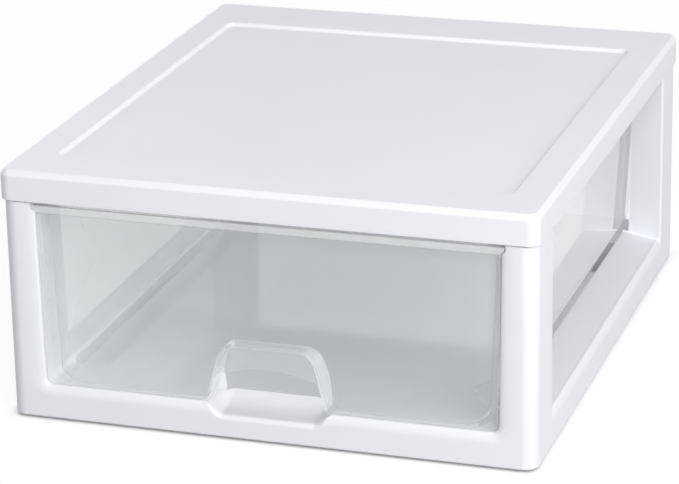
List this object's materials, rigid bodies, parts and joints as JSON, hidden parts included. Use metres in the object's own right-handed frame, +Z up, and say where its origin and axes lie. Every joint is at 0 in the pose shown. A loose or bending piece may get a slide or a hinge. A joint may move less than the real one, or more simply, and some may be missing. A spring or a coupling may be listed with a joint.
{
  "type": "stackable drawer box",
  "caption": "White moulded housing with open side windows and a sunk stacking top, holding a clear pull-out drawer with an arched finger pull",
  "frame": {"origin": "On the floor under the middle of the box, the bottom centre of its bounding box", "axes": "+X to the right seen from the front, +Y from the front to the back, +Z up"},
  "size_m": [0.365, 0.432, 0.175],
  "materials": {
    "white_housing": "smooth moulded white polypropylene with a soft sheen",
    "clear_drawer": "clear moulded plastic, glossy, very slightly green-grey"
  },
  "bodies": {
    "housing": {"top_cover": "white_housing", "front_left_post": "white_housing", "front_right_post": "white_housing", "rear_left_post": "white_housing", "rear_right_post": "white_housing", "front_rail": "white_housing", "rear_rail": "white_housing", "left_rail": "white_housing", "right_rail": "white_housing", "left_runner": "white_housing", "right_runner": "white_housing"},
    "drawer": {"drawer_tub": "clear_drawer", "drawer_rim": "clear_drawer", "finger_pull": "clear_drawer"}
  },
  "joints": [
    {"name": "drawer_slide", "type": "slide", "parent": "housing", "child": "drawer", "axis": [0, -1, 0], "range_m": [0, 0.3]}
  ]
}
